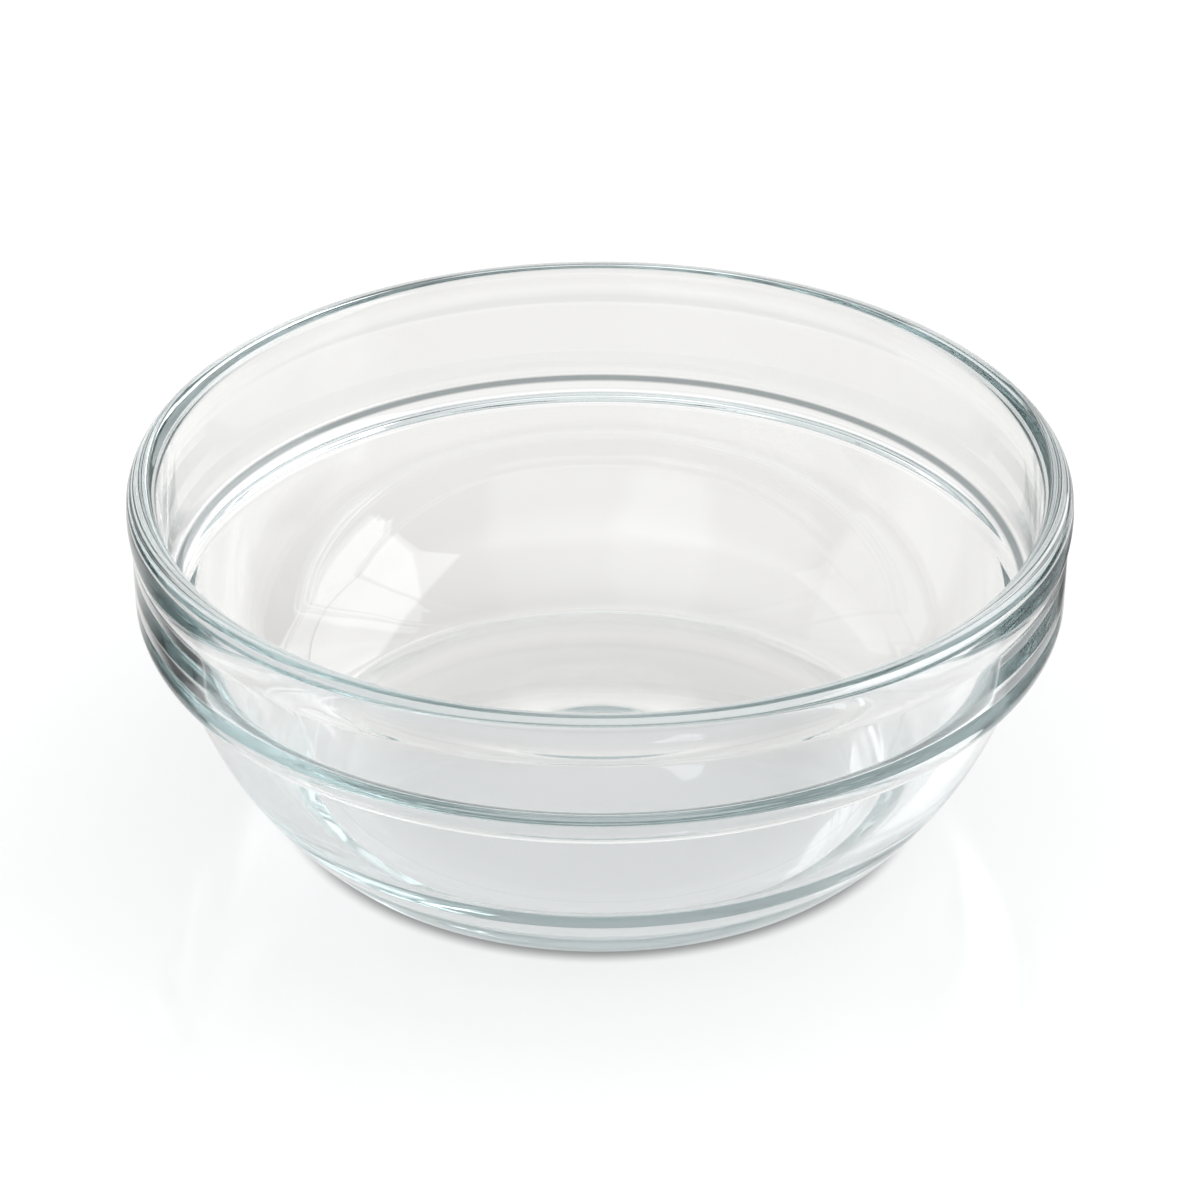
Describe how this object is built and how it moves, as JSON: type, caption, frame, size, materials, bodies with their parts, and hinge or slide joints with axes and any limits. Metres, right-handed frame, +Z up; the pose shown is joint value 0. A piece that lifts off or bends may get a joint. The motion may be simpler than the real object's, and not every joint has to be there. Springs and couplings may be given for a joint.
{
  "type": "candy bowl",
  "caption": "Round clear pressed-glass candy bowl with a beaded lip, a rounded stacking shoulder under the rim band, a curved body and a thick flat foot.",
  "frame": {"origin": "on the table, at the middle of the foot", "axes": "+Z up along the bowl's axis, towards the open mouth; the bowl is round, so X and Y are free"},
  "size_m": [0.105, 0.105, 0.04],
  "materials": {
    "clear_glass": "clear, fire-polished pressed glass with a faint blue-green tint"
  },
  "bodies": {
    "root": {"bowl": "clear_glass"}
  },
  "joints": []
}
